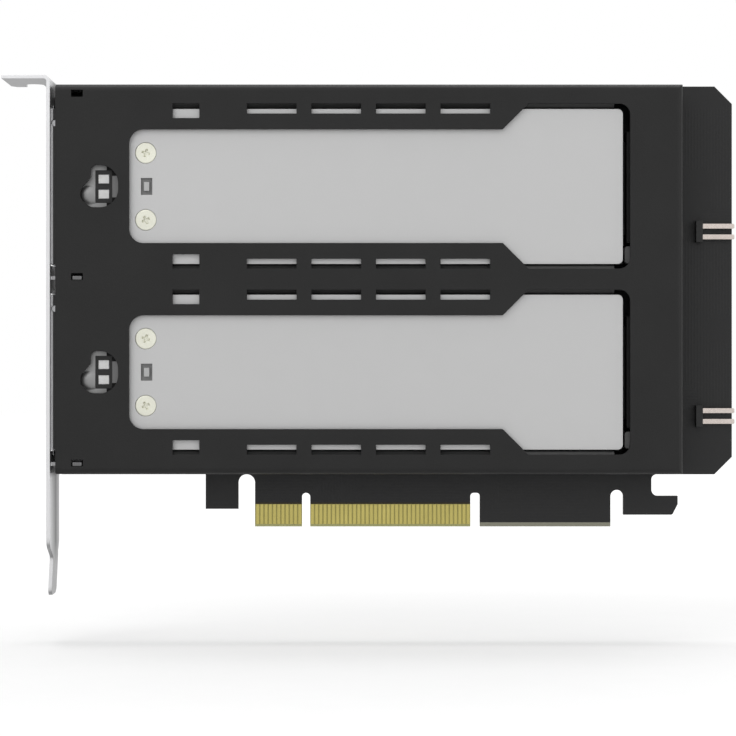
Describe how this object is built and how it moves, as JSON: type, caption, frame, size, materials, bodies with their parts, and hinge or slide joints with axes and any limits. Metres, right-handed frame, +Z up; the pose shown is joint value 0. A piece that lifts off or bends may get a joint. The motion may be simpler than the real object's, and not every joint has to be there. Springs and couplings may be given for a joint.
{
  "type": "nvme adapter card",
  "caption": "Adapter card with a black sheet-metal cage over slide-out drive trays with eject levers, a gold card edge and a slot bracket.",
  "frame": {"origin": "the middle of the key notch, on the lower edge of the fingers and in the middle of the board's thickness", "axes": "+X runs along the card away from its bracket, -Y is the side that carries the cage, and +Z is up, out of the slot"},
  "size_m": [0.1718, 0.0184, 0.1213],
  "materials": {
    "board_black": "solder mask, satin",
    "contact_gold": "gold plated",
    "cage_black": "matt black paint",
    "bracket_steel": "satin",
    "cover_aluminium": "bead blasted",
    "tray_plastic": "moulded, matt",
    "screw_steel": "machined",
    "cover_screw_pale": "pale yellowish plating",
    "header_plastic": "moulded, matt",
    "pin_copper": "plated",
    "chip_black": "moulded package",
    "chip_ceramic": "fired ceramic",
    "coil_grey": "pressed ferrite",
    "pad_grey": "soft, matt",
    "light_clear": "clear, frosted end",
    "chip_light_white": "clear lens",
    "spring_steel": "satin",
    "board_green": "solder mask, satin",
    "bezel_metal": "bead blasted",
    "screw_black": "black plating",
    "stop_grey": "moulded, matt"
  },
  "bodies": {
    "card": {"main_board": "board_black", "edge_contacts": "contact_gold", "cage": "cage_black", "bracket": "bracket_steel", "board_screws": "screw_black", "clock_chip": "chip_black", "coupling_capacitors": "chip_ceramic", "power_regulators": "chip_black", "power_inductors": "coil_grey", "power_capacitors": "chip_ceramic", "top_rail": "tray_plastic", "centre_rail": "tray_plastic", "bottom_rail": "tray_plastic", "upper_receptacle": "header_plastic", "upper_stop_post": "stop_grey", "upper_header_body": "header_plastic", "upper_header_pins": "pin_copper", "lower_receptacle": "header_plastic", "lower_stop_post": "stop_grey", "lower_header_body": "header_plastic", "lower_header_pins": "pin_copper"},
    "upper_tray": {"upper_carrier": "tray_plastic", "upper_cover": "cover_aluminium", "upper_cover_screws": "cover_screw_pale", "upper_tray_board": "board_green", "upper_drive_socket": "header_plastic", "upper_drive_standoff": "screw_steel", "upper_thermal_pad": "pad_grey", "upper_light_frame": "tray_plastic", "upper_light_pipes": "light_clear", "upper_chip_lights": "chip_light_white", "upper_latch_spring": "spring_steel", "upper_bezel": "bezel_metal", "upper_lever_pin": "screw_steel"},
    "upper_lever": {"upper_eject_lever": "tray_plastic"},
    "lower_tray": {"lower_carrier": "tray_plastic", "lower_cover": "cover_aluminium", "lower_cover_screws": "cover_screw_pale", "lower_tray_board": "board_green", "lower_drive_socket": "header_plastic", "lower_drive_standoff": "screw_steel", "lower_thermal_pad": "pad_grey", "lower_light_frame": "tray_plastic", "lower_light_pipes": "light_clear", "lower_chip_lights": "chip_light_white", "lower_latch_spring": "spring_steel", "lower_bezel": "bezel_metal", "lower_lever_pin": "screw_steel"},
    "lower_lever": {"lower_eject_lever": "tray_plastic"}
  },
  "joints": [
    {"name": "upper_tray_slide", "type": "slide", "parent": "card", "child": "upper_tray", "axis": [-1, 0, 0], "range_m": [0, 0.14]},
    {"name": "upper_lever_hinge", "type": "hinge", "parent": "upper_tray", "child": "upper_lever", "pos_m": [-0.0582, -0.00873, 0.09467], "axis": [0, 1, 0], "range_deg": [0, 85]},
    {"name": "lower_tray_slide", "type": "slide", "parent": "card", "child": "lower_tray", "axis": [-1, 0, 0], "range_m": [0, 0.14]},
    {"name": "lower_lever_hinge", "type": "hinge", "parent": "lower_tray", "child": "lower_lever", "pos_m": [-0.0582, -0.00873, 0.05147], "axis": [0, 1, 0], "range_deg": [0, 85]}
  ]
}
